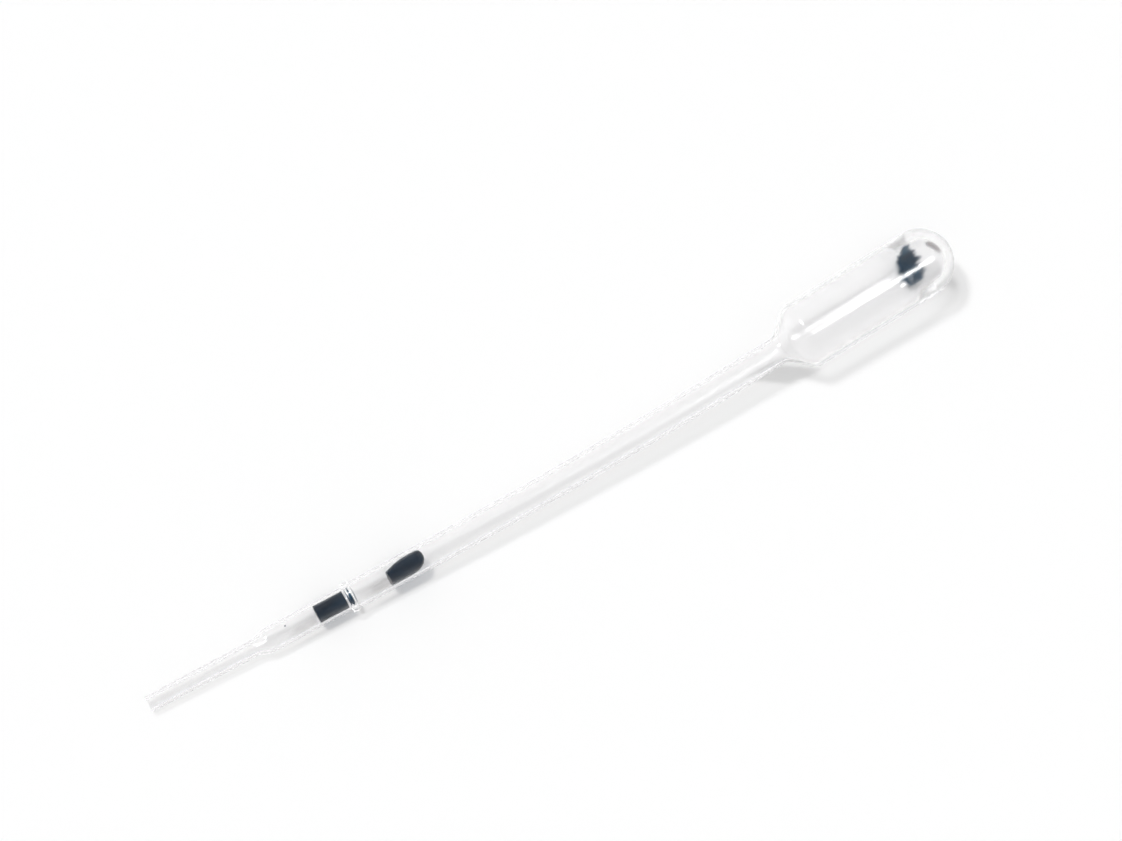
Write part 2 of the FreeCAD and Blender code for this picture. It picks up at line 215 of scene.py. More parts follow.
class InkSizes(bpy.types.PropertyGroup):
    clearance: length("Clearance", "Air between the ink and the bore", 0.02)
    slug_gap: length("Slug gap", "From the slug to the bead", 0.3)
    slug_length: length("Slug length", "Length of the ink slug", 5.3)
    slug_hollow: length("Slug hollow", "Depth of the hollow in each end of the slug", 0.2)
    drop_start: length("Drop start", "From the bead to the ink drop", 6.2)
    drop_length: length("Drop length", "Length of the ink drop", 7.0)
    film_depth: length("Film depth", "Deepest part of the ink film in the bulb", 0.16)
    slug_sides: IntProperty(name="Slug sides", description="Faces round the ink slug",
                            default=96, min=24)
    lean: angle("Lean", "How far the drop and the stains lean about the axis", 19)


class Finishes(bpy.types.PropertyGroup):
    plastic: colour("Plastic", "Tint of the clear plastic", (1.0, 0.998, 1.0))
    plastic_ior: amount("Plastic IOR", "Refractive index of the soft plastic", 1.5, 3.0)
    haze: amount("Haze", "Roughness of the plastic's skin", 0.13)
    draw_lines: amount("Draw lines", "Depth of the lines that blowing left along the wall", 0.05)
    draw_depth: length("Draw line depth", "Height of those lines", 0.05)
    ink: colour("Ink", "Deep ink", (0.0005, 0.007, 0.019))
    thin_ink: colour("Thin ink", "Ink where it is thin", (0.018, 0.08, 0.15))
    # Colour of the painted shade on the bore and inside the dome.
    shade_veil: colour("Stain", "Dried ink smeared on the wall", (0.36, 0.34, 0.34))
    floor: colour("Floor", "Colour of the floor", (0.96, 0.96, 0.96))
    floor_glow: amount("Floor glow", "The floor's own light, which other things don't receive", 0.04)


class Studio(bpy.types.PropertyGroup):
    turn: angle("Turn", "How far round the camera stands", -30.802)
    height: angle("Height", "Camera's angle above the floor", 69)
    distance: length("Distance", "From the camera to its target", 600)
    lens: FloatProperty(name="Lens", description="Focal length on a sensor 36 mm wide", default=114.2)
    target: FloatVectorProperty(name="Target", description="Where the camera looks",
                                default=(0.006109, 0.009219, 0.0), subtype="TRANSLATION", unit="LENGTH")
    key_strength: amount("Key", "Strength of the main lamp", 1.73, 20)
    key_angle: angle("Key size", "Angle across the main lamp", 9.5)
    fill: amount("Fill", "Strength of the wide lamp", 0.44, 20)
    fill_angle: angle("Fill size", "Angle across the wide lamp", 27)
    lamp_distance: length("Lamp distance", "From the floor's middle to the key and fill lamps", 2000)
    panel: amount("Panel", "Strength of the glossy highlight's soft box", 52.0, 1000)
    panel_length: length("Panel length", "Soft box, along the pipette", 1058)
    panel_width: length("Panel width", "Soft box, across the pipette", 620)
    panel_distance: length("Panel distance", "From the floor's middle to the soft box", 3000)
    floor_reach: length("Floor reach", "From the floor's middle to each of its sides", 3000)
    room: amount("Room", "Strength of the light from overhead", 0.2)
    horizon: amount("Horizon", "Strength of the light from the horizon", 1.0)


# -------------------- the axis and the lathe

def stations(sizes):
    """Distances from the tip end at which the shape changes."""
    lower = sizes.tip_length + sizes.tip_shoulder
    bead = lower + sizes.lower_stem
    stem = bead + sizes.bead
    bulb = stem + sizes.stem
    rise = (sizes.bulb_radius - sizes.stem_radius) / math.tan(sizes.shoulder_slope)
    shoulder = bulb + sizes.neck + rise
    return {"lower": lower, "bead": bead, "stem": stem, "bulb": bulb,
            "neck": bulb + sizes.neck, "shoulder": shoulder, "dome": shoulder + sizes.bulb}


def bores(sizes):
    """Inside radius of each stretch of the pipette."""
    return {"tip": sizes.tip_radius - sizes.tip_wall, "lower": sizes.lower_radius - sizes.lower_wall,
            "stem": sizes.stem_radius - sizes.stem_wall, "bulb": sizes.bulb_radius - sizes.bulb_wall,
            "dome": sizes.bulb_radius - sizes.dome_wall}


def gather_line(sizes):
    """Start of the gather and where it meets the inside of the dome, from the dome's centre."""
    bore = bores(sizes)
    corner = Vector((-sizes.gather, bore["bulb"]))
    angle = math.atan2(corner.y, corner.x) - math.acos(bore["dome"] / corner.length)
    return corner, Vector((math.cos(angle), math.sin(angle))) * bore["dome"]


def axis_place(sizes, run):
    """Centre, forward, side and up directions of the bowed axis, run metres from the tip end."""
    orifice, bulb = MOUNTS["tip_orifice"], MOUNTS["bulb"]
    outward = Vector(orifice["axis"]).normalized()
    half = orifice["dims"]["length_mm"] * MM / 2
    tip_end = Vector(orifice["pos_m"]) + outward * half
    forward = -outward
    ahead = Vector(bulb["axis"]).normalized()
    bend = forward.angle(ahead)
    side = (ahead - forward * ahead.dot(forward)).normalized()
    up = forward.cross(side)
    at = stations(sizes)
    if run <= at["stem"]:
        return tip_end + forward * run, forward, side, up
    radius = sizes.stem / bend
    turn = min(run - at["stem"], sizes.stem) / radius
    heading = forward * math.cos(turn) + side * math.sin(turn)
    across = side * math.cos(turn) - forward * math.sin(turn)
    start = tip_end + forward * at["stem"]
    centre = start + forward * (radius * math.sin(turn)) + side * (radius * (1 - math.cos(turn)))
    beyond = max(0.0, run - at["bulb"])
    return centre + heading * beyond, heading, across, up


def rounded(corners, step=math.radians(5)):
    """Straight and round spans through corners (along, out, round).

    Each span is a list of (point, normal) pairs, where a point is (along, out).
    """
    points = [Vector((along, out)) for along, out, _ in corners]
    spans = []
    start = points[0]
    for i in range(1, len(points)):
        corner, radius = points[i], corners[i][2]
        if not radius or i == len(points) - 1:
            spans.append(line_span(start, corner))
            start = corner
            continue
        back = (points[i - 1] - corner).normalized()
        ahead = (points[i + 1] - corner).normalized()
        half = back.angle(ahead) / 2
        reach = radius / math.tan(half)
        centre = corner + (back + ahead).normalized() * (radius / math.sin(half))
        spans.append(line_span(start, corner + back * reach))
        spans.append(arc_span(centre, corner + back * reach, corner + ahead * reach, step))
        start = corner + ahead * reach
    return spans


def line_span(start, end, longest=3.0 * MM):
    """Points of a straight span, with one normal."""
    count = max(1, math.ceil((end - start).length / longest))
    normal = Vector(((end - start).y, -(end - start).x)).normalized()
    return [(start.lerp(end, i / count), normal) for i in range(count + 1)]


def arc_span(centre, start, end, step):
    """Points of a round span, with their own normals on the left of the way along."""
    first, last = start - centre, end - centre
    angle = first.angle_signed(last) * -1
    count = max(2, math.ceil(abs(angle) / step))
    sign = 1 if angle > 0 else -1
    points = []
    for i in range(count + 1):
        spoke = Matrix.Rotation(angle * i / count, 2) @ first
        points.append((centre + spoke, spoke.normalized() * sign))
    return points


def ramp(value, low, high):
    """0 below low, 1 above high and an even rise between."""
    return min(1.0, max(0.0, (value - low) / (high - low)))


def smooth(value, low, high):
    """Same as ramp, with an easy start and end."""
    step = ramp(value, low, high)
    return step * step * (3 - 2 * step)


def add_object(name, data):
    """A new object in the scene."""
    item = bpy.data.objects.new(name, data)
    bpy.context.scene.collection.objects.link(item)
    return item


def shade_smooth(mesh):
    mesh.polygons.foreach_set("use_smooth", [True] * len(mesh.polygons))


def add_layer(mesh, name, values):
    """A number for each point of a mesh, which its finish reads by name."""
    mesh.attributes.new(name, "FLOAT", "POINT").data.foreach_set("value", values)


def add_flow(mesh, sizes):
    """Each point's run along the bowed axis and its place across it, for the streaks."""
    values = []
    for vert in mesh.vertices:
        run = vert.co.x - CAD_BOX[0][0]
        for _ in range(3):
            centre, heading, side, up = axis_place(sizes, run)
            run += (vert.co - centre).dot(heading)
        off = vert.co - centre
        values.extend((run, off.dot(side), off.dot(up)))
    mesh.attributes.new("flow", "FLOAT_VECTOR", "POINT").data.foreach_set("vector", values)


def wall_shade(sizes, run):
    """How much lamp light one crossing of the wall lets on to the floor, from its run."""
    at = stations(sizes)
    bulb = smooth(run, at["bulb"], at["shoulder"])
    low, high = DOME_SHADE_SPAN
    dome = smooth(run, at["dome"] + low * MM, at["dome"] + high * MM)
    return STEM_SHADE + (1 - STEM_SHADE) * bulb - (1 - DOME_SHADE) * dome


def lathe(name, spans, sizes, sides):
    """A closed mesh from spans that start and end on the axis, turned round the bowed axis."""
    verts, faces, normals, runs = [], [], [], []
    angles = [2 * math.pi * i / sides for i in range(sides)]

    def ring(point):
        centre, _, side, up = axis_place(sizes, point.x)
        first = len(verts)
        if point.y < TINY:
            verts.append(centre)
            runs.append(point.x)
            return [first] * sides
        for angle in angles:
            verts.append(centre + (side * math.cos(angle) + up * math.sin(angle)) * point.y)
            runs.append(point.x)
        return list(range(first, first + sides))

    def turned(point, normal, angle):
        _, forward, side, up = axis_place(sizes, point.x)
        return forward * normal.x + (side * math.cos(angle) + up * math.sin(angle)) * normal.y

    here = ring(spans[0][0][0])
    for span in spans:
        for (start, start_normal), (end, end_normal) in zip(span, span[1:]):
            if (end - start).length < TINY:
                continue
            there = ring(end)
            for i in range(sides):
                j = (i + 1) % sides
                around = [(here[j], start, start_normal, angles[j]),
                          (here[i], start, start_normal, angles[i]),
                          (there[i], end, end_normal, angles[i]),
                          (there[j], end, end_normal, angles[j])]
                corners = []
                for corner in around:
                    if corner[0] not in [kept[0] for kept in corners]:
                        corners.append(corner)
                faces.append([corner[0] for corner in corners])
                normals.extend(turned(*corner[1:]) for corner in corners)
            here = there
    mesh = bpy.data.meshes.new(name)
    mesh.from_pydata(verts, [], faces)
    shade_smooth(mesh)
    mesh.normals_split_custom_set(normals)
    add_layer(mesh, "shade", [wall_shade(sizes, run) for run in runs])
    mesh.validate()
    return add_object(name, mesh)


def wall_spans(sizes):
    """The whole blown wall, from the outer pole of the dome to its inner pole."""
    at, bore = stations(sizes), bores(sizes)
    ring = sizes.stem_radius + sizes.bead_height
    lean = math.tan(sizes.shoulder_slope / 2)
    dome = Vector((at["dome"], 0))
    corners = [
        (at["dome"], sizes.bulb_radius, 0),
        (at["shoulder"], sizes.bulb_radius, sizes.shoulder_round),
        (at["neck"], sizes.stem_radius, sizes.neck_round),
        (at["stem"], sizes.stem_radius, 0),
        (at["stem"], ring, sizes.bead_round),
        (at["bead"], ring, sizes.bead_round),
        (at["bead"], sizes.lower_radius, 0),
        (at["lower"], sizes.lower_radius, sizes.tip_round),
        (sizes.tip_length, sizes.tip_radius, sizes.tip_round),
        (0, sizes.tip_end_radius, sizes.lip_round),
        (0, bore["tip"], 0),
        (sizes.tip_length, bore["tip"], sizes.tip_round),
        (at["lower"], bore["lower"], sizes.tip_round),
        (at["bead"], bore["lower"], 0),
        (at["stem"], bore["stem"], 0),
        (at["neck"] + sizes.stem_wall * lean, bore["stem"], sizes.neck_round + sizes.stem_wall),
        (at["shoulder"] + sizes.bulb_wall * lean, bore["bulb"],
         sizes.shoulder_round - sizes.bulb_wall),
    ]
    touch = dome + gather_line(sizes)[1]
    corners += [(dome.x - sizes.gather, bore["bulb"], sizes.gather_round), (touch.x, touch.y, 0)]
    crown = dome + Vector((0, sizes.bulb_radius))
    step = math.radians(4)
    first = arc_span(dome, dome + Vector((sizes.bulb_radius, 0)), crown, step)
    last = arc_span(dome, touch, dome + Vector((bore["dome"], 0)), step)
    return [first, *rounded(corners), last]


def slug_spans(sizes, ink):
    """A plug of ink with hollow ends, from one end's middle to the other's."""
    head = stations(sizes)["bead"] - ink.slug_gap
    tail = head - ink.slug_length
    width = bores(sizes)["lower"] - ink.clearance
    hollow = ink.slug_hollow
    reach = (width ** 2 + hollow ** 2) / (2 * hollow)
    first = Vector((head - hollow, 0))
    last = Vector((tail + hollow, 0))
    step = math.radians(1)
    return [
        arc_span(first + Vector((reach, 0)), first, Vector((head, width)), step),
        line_span(Vector((head, width)), Vector((tail, width))),
        arc_span(last - Vector((reach, 0)), Vector((tail, width)), last, step),
    ]


# -------------------- ink on the walls

def between(table, value):
    """Straight interpolation in a table of (value, result) pairs."""
    if value <= table[0][0]:
        return table[0][1]
    for (low, first), (high, last) in zip(table, table[1:]):
        if value <= high:
            return first + (last - first) * (value - low) / (high - low)
    return table[-1][1]


def leaning(sizes, ink, run, across, lift):
    """A point off the axis, across and above it once both have leaned."""
    centre, _, side, up = axis_place(sizes, run)
    over = side * math.cos(ink.lean) + up * math.sin(ink.lean)
    above = up * math.cos(ink.lean) - side * math.sin(ink.lean)
    return centre - over * across + above * lift


def skin(name, verts, faces):
    """A smooth piece whose faces all look outward."""
    mesh = bpy.data.meshes.new(name)
    mesh.from_pydata(verts, [], faces)
    form = bmesh.new()
    form.from_mesh(mesh)
    bmesh.ops.recalc_face_normals(form, faces=form.faces)
    form.to_mesh(mesh)
    form.free()
    shade_smooth(mesh)
    return add_object(name, mesh)


def tube(name, rings, covers):
    """Closed skin over rings of points, each with its own cover."""
    verts, faces, values = [], [], []
    for ring, cover in zip(rings, covers):
        verts.extend(ring)
        values.extend(cover)
    count = len(rings[0])
    for i in range(len(rings) - 1):
        for j in range(count):
            k = (j + 1) % count
            faces.append([i * count + j, i * count + k, (i + 1) * count + k, (i + 1) * count + j])
    faces.append(list(range(count)))
    faces.append(list(range(len(verts) - count, len(verts))))
    piece = skin(name, verts, faces)
    add_layer(piece.data, "cover", values)
    return piece


def patch(name, grid, spot, depth, cover):
    """Thin closed patch, where spot(t, u, lift) places a point lifted off the wall.

    t and u run from 0 to 1 along the patch and across it.
    """
    long, wide = grid
    way = [(j / wide, 0) for j in range(wide + 1)] + [(j / wide, 1) for j in range(wide - 1, 0, -1)]
    rings, covers = [], []
    for i in range(long + 1):
        t = i / long
        rings.append([spot(t, u, lifted * depth(t, u)) for u, lifted in way])
        covers.append([cover(t, u) for u, _ in way])
    return tube(name, rings, covers)


# Outline of the drop from above: distance past its start and how far each side stands across
# the bore, in millimetres.
DROP_UPPER = [(0.0, 0.11), (0.18, -0.87), (0.88, -1.08), (2.18, -1.46), (3.5, -1.70), (5.0, -1.79),
              (6.16, -1.70), (6.7, -1.40), (6.92, -0.92), (7.0, -0.35)]
DROP_LOWER = [(0.0, 1.2), (0.12, 1.66), (0.88, 1.79), (2.04, 1.8), (3.2, 1.8), (4.48, 1.76),
              (5.52, 1.43), (6.42, 0.89), (6.86, 0.32), (7.0, -0.15)]

# Edges of the ink film in the bulb: degrees from straight down and millimetres past the
# centre of the dome.
FILM_BACK = [(-27.5, 0.45), (-25, -0.15), (-20, -1.2), (-13, -2.15), (-5, -2.72), (5, -2.86),
             (14, -2.53), (25, -2.32), (35, -2.07), (46, -1.83), (56, -1.0), (64, -0.18),
             (81, 0.02), (113, -0.24)]
FILM_FRONT = [(-27.5, 0.6), (-26, 1.4), (-13.5, 1.76), (-8, 2.14), (10, 1.92), (25, 1.95),
              (35, 2.28), (47, 2.13), (61.5, 1.75), (81, 1.42), (113, 1.09)]


def drop_rings(sizes, ink):
    """Sections of the drop, square to the axis, as wide as its outline and as deep as the bore."""
    bore = bores(sizes)["stem"] - ink.clearance
    start = stations(sizes)["stem"] + ink.drop_start
    whole = DROP_UPPER[-1][0]
    scale = ink.drop_length / (whole * MM)
    long, around = DROP_GRID
    (near, near_tip), (far, far_tip) = DROP_ENDS
    rings, covers = [], []
    for i in range(long + 1):
        past = whole * (1 - math.cos(math.pi * i / long)) / 2
        low, high = between(DROP_UPPER, past) * MM, between(DROP_LOWER, past) * MM
        middle, half = (low + high) / 2, (high - low) / 2 * 0.99
        end = min(1.0, math.sqrt(past / near + near_tip), math.sqrt((whole - past) / far + far_tip))
        ring, cover = [], []
        for j in range(around):
            angle = 2 * math.pi * j / around
            across = middle + half * math.cos(angle)
            deep = math.sqrt(max(0.0, bore ** 2 - across ** 2)) * end
            deep *= math.copysign((1 - abs(math.cos(angle)) ** 5) ** 0.4, math.sin(angle))
            ring.append(leaning(sizes, ink, start + past * scale * MM, across, deep))
            cover.append(0.55 + 0.45 * smooth(abs(math.sin(angle)), 0.0, 0.6))
        rings.append(ring)
        covers.append(cover)
    return rings, covers


def inner_wall(sizes, past):
    """Inside radius of the bulb, past metres beyond the centre of its dome."""
    corner, touch = gather_line(sizes)
    if past > touch.x:
        return math.sqrt(max(0.0, bores(sizes)["dome"] ** 2 - past ** 2))
    slope = (touch.y - corner.y) / (touch.x - corner.x)
    return touch.y + slope * (past - touch.x)


def bulb_inside(sizes, ink):
    """Gives a function that places ink inside the bulb's closed end.

    It takes degrees from straight down, metres past the centre of the dome and lift off the wall.
    """
    centre, forward, side, up = axis_place(sizes, stations(sizes)["dome"])

    def place(degrees, past, lift):
        out = inner_wall(sizes, past) - ink.clearance - lift
        turn = math.radians(degrees)
        return centre + forward * past + (side * math.sin(turn) - up * math.cos(turn)) * out

    return place


def teeth(angle, seed):
    """Uneven pointed fringe along an edge, from 0 to about 1."""
    coarse = 1 - abs(noise.noise(Vector((angle / 9, seed, 0.5)))) * 2
    fine = max(-0.6, 1 - abs(noise.noise(Vector((angle / 2.4, seed, 7.5)))) * 4.5)
    return 0.45 * coarse + 0.55 * fine


def make_film(sizes, ink):
    """Ragged film of ink, from below the bulb's axis up one side."""
    first, last = FILM_BACK[0][0], FILM_BACK[-1][0]
    place = bulb_inside(sizes, ink)

    def edges(angle):
        grow = smooth(angle, first, first + 10) * (1 - 0.6 * smooth(angle, 60, 85))
        (back_height, back_seed), (front_height, front_seed) = BACK_TEETH, FRONT_TEETH
        back = between(FILM_BACK, angle) - back_height * teeth(angle, back_seed) * grow
        front = between(FILM_FRONT, angle) + front_height * teeth(angle, front_seed) * grow
        return back * MM, front * MM

    def spot(t, u, lift):
        angle = first + (last - first) * t
        back, front = edges(angle)
        return place(angle, back + (front - back) * u, lift)

    def depth(t, u):
        full = math.sqrt(max(0.0, 4 * u * (1 - u)))
        full = full * smooth(t, -0.01, 0.08) * (1 - smooth(t, 0.85, 1.0))
        return FILM_RIM_DEPTH * MM + ink.film_depth * full * (1 - 0.6 * smooth(t, 0.62, 0.8))

    def cover(t, u):
        back, front = edges(first + (last - first) * t)
        rim = min(u, 1 - u) * (front - back) / (0.3 * MM)
        ends = smooth(t, 0.0, 0.05) * (1 - smooth(t, 0.9, 1.0))
        return min(1.0, rim) * ends * (1 - 0.45 * smooth(t, 0.62, 0.78))

    return patch("bulb_film", FILM_GRID, spot, depth, cover)


def make_shade_veil(name, sizes, ink, runs, across, strength):
    """Painted shade on the bore, a grey veil for the ink's shadow and reflection in the wall, from one
    run to another and between two distances across it.
    """
    at, bore = stations(sizes), bores(sizes)

    def spot(t, u, lift):
        run = (runs[0] + (runs[1] - runs[0]) * t) * MM
        widening = (bore["stem"] - bore["lower"]) * ramp(run, at["bead"], at["stem"])
        out = bore["lower"] + widening - ink.clearance - lift
        wave = 0.12 * noise.noise(Vector((t * 5, u * 2, runs[0])))
        over = min(0.97, max(-0.97, (across[0] + (across[1] - across[0]) * u + wave) * MM / out))
        return leaning(sizes, ink, run, over * out, math.sqrt(1 - over ** 2) * out)

    def cover(t, u):
        rim = smooth(u, 0, 0.35) * (1 - smooth(u, 0.65, 1))
        return rim * smooth(t, 0, 0.6) * (1 - smooth(t, 0.97, 1)) * strength

    return patch(name, VEIL_GRID, spot, lambda t, u: VEIL_DEPTH * MM, cover)


def make_dome_painted_shade(sizes, ink):
    """Painted reflection: a grey veil on the upper inside of the dome, where it reflects darker
    surroundings.
    """
    place = bulb_inside(sizes, ink)

    def spot(t, u, lift):
        angle, past, wide = (between([(at, row[i]) for at, *row in DOME_VEIL], t) for i in range(3))
        return place(angle, (past + wide * (u - 0.5)) * MM, lift)

    def cover(t, u):
        rim = smooth(u, 0, 0.4) * (1 - smooth(u, 0.6, 1))
        return rim * smooth(t, 0, 0.2) * (1 - smooth(t, 0.75, 1)) * DOME_VEIL_STRENGTH

    return patch("dome_painted_shade", VEIL_GRID, spot, lambda t, u: VEIL_DEPTH * MM, cover)


def make_bead_crescent(sizes, ink):
    """Dark crescent in the step of the bore under the bead, drawn as a thin film."""
    long, around = BEAD_CRESCENT_GRID
    first, sweep = BEAD_CRESCENT_TURN
    least, swell = BEAD_CRESCENT_DEPTH
    past, outside = BEAD_CRESCENT_PLACE
    run = stations(sizes)["bead"] + past * MM
    rings, covers = [], []
    for i in range(long + 1):
        t = i / long
        turn = math.radians(first + sweep * t)
        thick = (least + swell * smooth(t, 0.1, 0.75) * (1 - smooth(t, 0.93, 1.02))) * MM
        out = bores(sizes)["lower"] + outside * MM - thick
        ring = []
        for j in range(around):
            angle = 2 * math.pi * j / around
            away = out + thick * math.cos(angle)
            along = run + thick * 1.7 * math.sin(angle)
            ring.append(leaning(sizes, ink, along, math.sin(turn) * away, math.cos(turn) * away))
        rings.append(ring)
        covers.append([0.35 + 0.65 * smooth(t, 0.45, 0.7)] * around)
    return tube("bead_dark_crescent", rings, covers)


def make_speck(name, sizes, ink, run, across, out, reach, seed):
    """A small uneven fleck of ink on the wall."""
    form = bmesh.new()
    bmesh.ops.create_icosphere(form, subdivisions=3, radius=1.0)
    lift = math.sqrt(out ** 2 - across ** 2)
    middle = leaning(sizes, ink, run, across, lift)
    along = (leaning(sizes, ink, run + 1 * MM, across, lift) - middle).normalized()
    outward = (middle - axis_place(sizes, run)[0]).normalized()
    over = outward.cross(along)
    for vert in form.verts:
        lump = 1 + 0.35 * noise.noise(vert.co * 1.7 + Vector((seed, 0, 0)))
        spot = vert.co * lump
        vert.co = (middle + along * (spot.x * reach[0]) + over * (spot.y * reach[1])
                   + outward * (spot.z * reach[2]))
    mesh = bpy.data.meshes.new(name)
    form.to_mesh(mesh)
    form.free()
    shade_smooth(mesh)
    add_layer(mesh, "cover", [1.0] * len(mesh.vertices))
    return add_object(name, mesh)


# -------------------- materials

def new_material(name):
    """A material with nothing in it but its output."""
    material = bpy.data.materials.new(name)
    material.use_nodes = True
    nodes, links = material.node_tree.nodes, material.node_tree.links
    nodes.clear()
    output = nodes.new("ShaderNodeOutputMaterial")
    return material, nodes, links, output


def flow_group():
    """Streaks drawn out along the pipette, for the plastic's skin and for the ink."""
    group = bpy.data.node_groups.get("flow_streaks")
    if group:
        return group
    group = bpy.data.node_groups.new("flow_streaks", "ShaderNodeTree")
    sockets = [("Size", "INPUT", 900.0), ("Length", "INPUT", 12.0), ("Low", "INPUT", 0.3),
               ("High", "INPUT", 0.7), ("Streaks", "OUTPUT", 0.0)]
    for name, way, default in sockets:
        socket = group.interface.new_socket(name, in_out=way, socket_type="NodeSocketFloat")
        socket.default_value = default
    nodes, links = group.nodes, group.links
    entry, leave = nodes.new("NodeGroupInput"), nodes.new("NodeGroupOutput")
    place = nodes.new("ShaderNodeAttribute")
    place.attribute_name = "flow"
    split = nodes.new("ShaderNodeSeparateXYZ")
    links.new(place.outputs["Vector"], split.inputs[0])
    shorter = add_math(nodes, links, "DIVIDE", split.outputs["X"], entry.outputs["Length"])
    join = nodes.new("ShaderNodeCombineXYZ")
    links.new(shorter, join.inputs["X"])
    links.new(split.outputs["Y"], join.inputs["Y"])
    links.new(split.outputs["Z"], join.inputs["Z"])
    grain = nodes.new("ShaderNodeTexNoise")
    grain.inputs["Detail"].default_value = 3.0
    links.new(join.outputs[0], grain.inputs["Vector"])
    links.new(entry.outputs["Size"], grain.inputs["Scale"])
    spread = nodes.new("ShaderNodeMapRange")
    links.new(grain.outputs["Fac"], spread.inputs["Value"])
    links.new(entry.outputs["Low"], spread.inputs["From Min"])
    links.new(entry.outputs["High"], spread.inputs["From Max"])
    links.new(spread.outputs["Result"], leave.inputs["Streaks"])
    return group


def add_streaks(nodes, values):
    """Streaks with the size, length, low and high in values."""
    streaks = nodes.new("ShaderNodeGroup")
    streaks.node_tree = flow_group()
    for name, value in zip(("Size", "Length", "Low", "High"), values):
        streaks.inputs[name].default_value = value
    return streaks.outputs["Streaks"]


def add_math(nodes, links, operation, first, second):
    """A sum of two values, each a number or another node's output."""
    node = nodes.new("ShaderNodeMath")
    node.operation = operation
    for value, socket in zip((first, second), node.inputs):
        if isinstance(value, (int, float)):
            socket.default_value = value
        else:
            links.new(value, socket)
    return node.outputs[0]


def add_rise(nodes, links, value, low, high, start=0.0, end=1.0):
    """A smooth change from start to end while value goes from low to high."""
    node = nodes.new("ShaderNodeMapRange")
    node.interpolation_type = "SMOOTHSTEP"
    links.new(value, node.inputs["Value"])
    for name, number in (("From Min", low), ("From Max", high), ("To Min", start), ("To Max", end)):
        node.inputs[name].default_value = number
    return node.outputs["Result"]


def add_blend(nodes, links, share, first, second):
    """The first colour where share is 0, and the second where it is 1."""
    mix = nodes.new("ShaderNodeMix")
    mix.data_type = "RGBA"
    mix.inputs["A"].default_value = (*first, 1)
    mix.inputs["B"].default_value = (*second, 1)
    links.new(share, mix.inputs["Factor"])
    return mix.outputs["Result"]


def add_layer_value(nodes, name):
    """The number that add_layer stored at each point."""
    layer = nodes.new("ShaderNodeAttribute")
    layer.attribute_name = name
    return layer.outputs["Fac"]


def shadow_mix(nodes, links, shader, clear, output):
    """Lets lamp light through in shadows only."""
    path = nodes.new("ShaderNodeLightPath")
    mix = nodes.new("ShaderNodeMixShader")
    links.new(path.outputs["Is Shadow Ray"], mix.inputs[0])
    links.new(shader.outputs[0], mix.inputs[1])
    links.new(clear.outputs[0], mix.inputs[2])
    links.new(mix.outputs[0], output.inputs["Surface"])


def neck_shade(nodes, links):
    """1 over most of the wall, and less where the key lamp's light is bent away by the neck.

    Each point is carried along the key lamp's light to the floor, and is tested there.
    """
    place = nodes.new("ShaderNodeTexCoord")
    shade = None
    for direction, low, high, soft in NECK_SHADOW:
        along = nodes.new("ShaderNodeVectorMath")
        along.operation = "DOT_PRODUCT"
        links.new(place.outputs["Object"], along.inputs[0])
        along.inputs[1].default_value = direction
        value = along.outputs["Value"]
        rise = add_rise(nodes, links, value, (low - soft) * MM, (low + soft) * MM)
        fall = add_rise(nodes, links, value, (high - soft) * MM, (high + soft) * MM, 1.0, 0.0)
        inside = add_math(nodes, links, "MULTIPLY", rise, fall)
        shade = inside if shade is None else add_math(nodes, links, "MULTIPLY", shade, inside)
    return add_rise(nodes, links, shade, 0.0, 1.0, 1.0, NECK_SHADE)


def plastic_material(finishes):
    """Clear plastic with faint lines along it, whose shadow is as pale as SLANT_SHADE says."""
    material, nodes, links, output = new_material("clear_plastic")
    shader = nodes.new("ShaderNodeBsdfPrincipled")
    shader.inputs["Base Color"].default_value = (*finishes.plastic, 1)
    shader.inputs["Transmission Weight"].default_value = 1.0
    shader.inputs["IOR"].default_value = finishes.plastic_ior
    shader.inputs["Roughness"].default_value = finishes.haze
    bump = nodes.new("ShaderNodeBump")
    bump.inputs["Strength"].default_value = finishes.draw_lines
    bump.inputs["Distance"].default_value = finishes.draw_depth
    links.new(add_streaks(nodes, WALL_STREAKS), bump.inputs["Height"])
    links.new(bump.outputs["Normal"], shader.inputs["Normal"])

    clear = nodes.new("ShaderNodeBsdfTransparent")
    weight = nodes.new("ShaderNodeLayerWeight")
    weight.inputs["Blend"].default_value = 0.5
    slant = nodes.new("ShaderNodeValToRGB")
    stops = slant.color_ramp.elements
    stops[0].position, stops[1].position = SLANT_SHADE[0][0], SLANT_SHADE[-1][0]
    for position, _ in SLANT_SHADE[1:-1]:
        stops.new(position)
    for stop, (_, level) in zip(stops, SLANT_SHADE):
        stop.color = (level, level, level, 1)
    links.new(weight.outputs["Facing"], slant.inputs["Fac"])
    dim = add_math(nodes, links, "MULTIPLY", slant.outputs["Color"], add_layer_value(nodes, "shade"))
    dim = add_math(nodes, links, "MULTIPLY", dim, neck_shade(nodes, links))
    links.new(dim, clear.inputs["Color"])
    shadow_mix(nodes, links, shader, clear, output)
    return material


